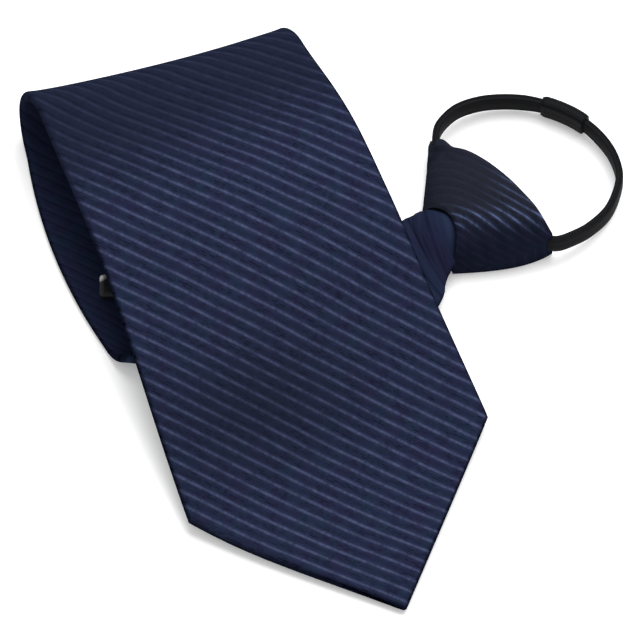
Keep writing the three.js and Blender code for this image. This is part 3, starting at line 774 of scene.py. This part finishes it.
def tape_cloth(name, light, dark, roughness):
    """Woven tape: close lengthwise cords crossed by fine threads, with soft flecks."""
    f = Finish(name)
    uv, u, v = f.cloth_place()
    cord = (u * 9000).sine() * 0.5 + 0.5
    thread = (v * 16000).sine() * 0.5 + 0.5
    flecks = f.noise(700.0, 3.0, uv)
    tone = (cord * 0.45 + thread * 0.15 + flecks * 0.5 - 0.15).clear()
    colour = f.shades(dark, light, tone)
    relief = cord * 0.7 + thread * 0.3
    return f.surface(colour, roughness, relief, distance=0.00012, strength=0.6, Specular_IOR_Level=0.04)


def glint_painted_metal(name, corner):
    """Dark metal with fine scratches and a painted glint at one rounded corner."""
    f = Finish(name)
    scratches = f.noise(1500.0, 4.0)
    # Painted glint: the metal is painted bright near the corner where the light catches it.
    away = f.node("ShaderNodeVectorMath", {"operation": "DISTANCE"}, [f.object_place(), corner], out=1)
    wear_and_glint = ((2.6 * MM - away) / (1.2 * MM)).clear()
    dark = f.shades(rgb(17, 18, 21), rgb(28, 29, 32), scratches)
    colour = f.shades(dark, rgb(190, 190, 188), wear_and_glint)
    roughness = 0.35 + scratches * 0.15
    return f.surface(colour, roughness, scratches, distance=0.00002, strength=0.4, Metallic=0.6)


# Pieces. A look is two hues of the ground, its shading hue for painted light and shade, the ribs' hue and how
# dark the painted shade in the grooves is
DEEP_NAVY = rgb(2, 3, 7)
BLADE_LOOK = (rgb(32, 33, 56), rgb(29, 38, 58)), rgb(27, 31, 48), rgb(63, 70, 97), 0.42
KNOT_LOOK = (rgb(26, 26, 42), rgb(22, 28, 41)), rgb(34, 37, 47), rgb(80, 92, 130), 0.1
SATIN = ribbed_satin("ribbed_satin", RIB_ACROSS, RIB_ALONG, RIB_PITCH, *BLADE_LOOK)
KNOT_SATIN = ribbed_satin("knot_satin", 1.0, 0.0, KNOT_RIB_PITCH, *KNOT_LOOK)
TAPE = tape_cloth("zipper_tape", rgb(25, 26, 29), rgb(8, 8, 9), 0.65)
SLEEVE = tape_cloth("sleeve_satin", rgb(20, 21, 24), rgb(6, 6, 8), 0.5)

ring, uv, shine, even_tone_and_painted_shading, painted_edge_shade = blade_surface()
shape = closed_rings(ring, uv)
shares = {"shine": shine, "even_tone_and_painted_shading": even_tone_and_painted_shading, "painted_edge_shade": painted_edge_shade}
blade = mesh_piece("blade_cloth", *shape, SATIN, "ribbed_satin", "blade", **shares)
ring, uv, shine, even_tone_and_painted_shading = knot_surface()
shape = closed_rings(ring[:, ::-1], uv[:, ::-1])
shares = {"shine": shine[:, ::-1], "even_tone_and_painted_shading": even_tone_and_painted_shading[:, ::-1], "painted_edge_shade": 0 * even_tone_and_painted_shading}
knot = mesh_piece("knot_cloth", *shape, KNOT_SATIN, "ribbed_satin", "knot", **shares)

TAPE_ROWS = 150
SLEEVE_ROWS = 90
TAIL_ROWS = 120
keys = loop_keys()
loop_length = on_curve(keys, TAPE_ROWS)[1]
sleeve_start = SLEEVE_CENTRE - SLEEVE_LENGTH / 2 / loop_length
sleeve_end = SLEEVE_CENTRE + SLEEVE_LENGTH / 2 / loop_length
tape_end = SLEEVE_CENTRE - TAPE_MEETING / 2 / loop_length
tape_start = SLEEVE_CENTRE + TAPE_MEETING / 2 / loop_length
for name, share in (("left", (0, tape_end)), ("right", (tape_start, 1))):
    centre = on_curve(keys, TAPE_ROWS, share)[0]
    from_sleeve = np.abs(np.linspace(*share, TAPE_ROWS) - SLEEVE_CENTRE) * loop_length
    outside = from_sleeve - SLEEVE_LENGTH / 2 - CLEARANCE
    wide = mix(PRESSED_WIDTH, TAPE_WIDTH, soft_step(outside, 0, TAPE_WIDTH))
    shape = closed_rings(*banded(centre, UP, wide, TAPE_WALL, ribs=6, depth=0.1))
    mesh_piece(f"tape_{name}", *shape, TAPE, "zipper_tape", f"neck_strand_{name}")
centre = on_curve(keys, SLEEVE_ROWS, (sleeve_start, sleeve_end))[0]
grown = 2 * (CLEARANCE + SLEEVE_WALL)
along_sleeve = np.linspace(0, 1, SLEEVE_ROWS)
pinch = 1 - 0.12 * bump(along_sleeve, 0, 0.05) - 0.05 * bump(along_sleeve, 1, 0.03)
wide = (PRESSED_WIDTH + grown) * pinch
thick = (TAPE_WALL + grown) * pinch
shape = closed_rings(*banded(centre, UP, wide, thick, ribs=2, depth=0.06, power=0.42))
mesh_piece("sleeve", *shape, SLEEVE, "sleeve_satin", "neck_sleeve")

left = np.array([0, 0.086, 0.193, 0.348, 0.657, 1]) * TAIL_REACH
front = np.array([0, 0.048, 0.102, 0.155, 0.188, 0.185]) * TAIL_REACH
start = throat_middle - throat_away * TAIL_INSIDE
keys = np.stack([start[0] - left, start[1] - front, np.full(len(left), TAIL_HEIGHT)], 1)
centre = on_curve(keys, TAIL_ROWS)[0]
flat = np.cross(unit(np.gradient(centre, axis=0)), UP)
shape = closed_rings(*banded(centre, flat, TAIL_WIDTH, TAIL_WALL, ribs=8, depth=0.1))
mesh_piece("tail_tape", *shape, TAPE, "zipper_tape", "zipper_tail")

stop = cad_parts["tail_stop"]
corners = np.array([tuple(stop.matrix_world @ Vector(c)) for c in stop.bound_box])
glint_corner = (corners[:, 0].min(), corners[:, 1].max(), corners[:, 2].max())
stop.data.materials.clear()
stop.data.materials.append(glint_painted_metal("stop_metal", glint_corner))

# Table, light and camera
WHITE = (1.0, 1.0, 1.0, 1.0)
TABLE_SIZE = 6
TABLE_COLOUR = (0.93, 0.93, 0.93, 1)
TABLE_ROUGHNESS = 0.7
LIGHT_TABLE = {"Specular_IOR_Level": 0.1, "Emission_Color": WHITE, "Emission_Strength": 0.2}
KEY_PLACE = (0.22, 0.53, 1.0)
KEY_SIZE = 1.0
KEY_POWER = 17
ROOM_LIGHT = 0.68
ELEVATION = np.radians(61.3)
DISTANCE = 7.0
FRAME_WIDTH = 0.16
SENSOR_WIDTH = 36

bpy.ops.mesh.primitive_plane_add(size=TABLE_SIZE)
table = bpy.context.object
table.name = "table"
table.data.materials.append(Finish("table").surface(TABLE_COLOUR, TABLE_ROUGHNESS, **LIGHT_TABLE))


def soft_light(name, place, size, power):
    """A square soft box that looks at the tie."""
    data = bpy.data.lights.new(name, "AREA")
    data.shape, data.size, data.energy = "SQUARE", size, power
    light = bpy.data.objects.new(name, data)
    light.location = place
    light.rotation_mode = "QUATERNION"
    light.rotation_quaternion = (-Vector(place)).to_track_quat("-Z", "Y")
    bpy.context.scene.collection.objects.link(light)


soft_light("key", KEY_PLACE, KEY_SIZE, KEY_POWER)

world = bpy.data.worlds.new("studio")
bpy.context.scene.world = world
world.use_nodes = True
world.node_tree.nodes["Background"].inputs[0].default_value = WHITE
world.node_tree.nodes["Background"].inputs[1].default_value = ROOM_LIGHT
bpy.context.scene.view_settings.view_transform = "Standard"

target = Vector((PLACE * MM).tolist())
data = bpy.data.cameras.new("camera")
data.sensor_width = SENSOR_WIDTH
data.lens = SENSOR_WIDTH * DISTANCE / FRAME_WIDTH
data.clip_end = 20
camera = bpy.data.objects.new("camera", data)
camera.location = target + DISTANCE * Vector((0, -np.cos(ELEVATION), np.sin(ELEVATION)))
camera.rotation_mode = "QUATERNION"
camera.rotation_quaternion = (target - camera.location).to_track_quat("-Z", "Y")
bpy.context.scene.collection.objects.link(camera)
bpy.context.scene.camera = camera
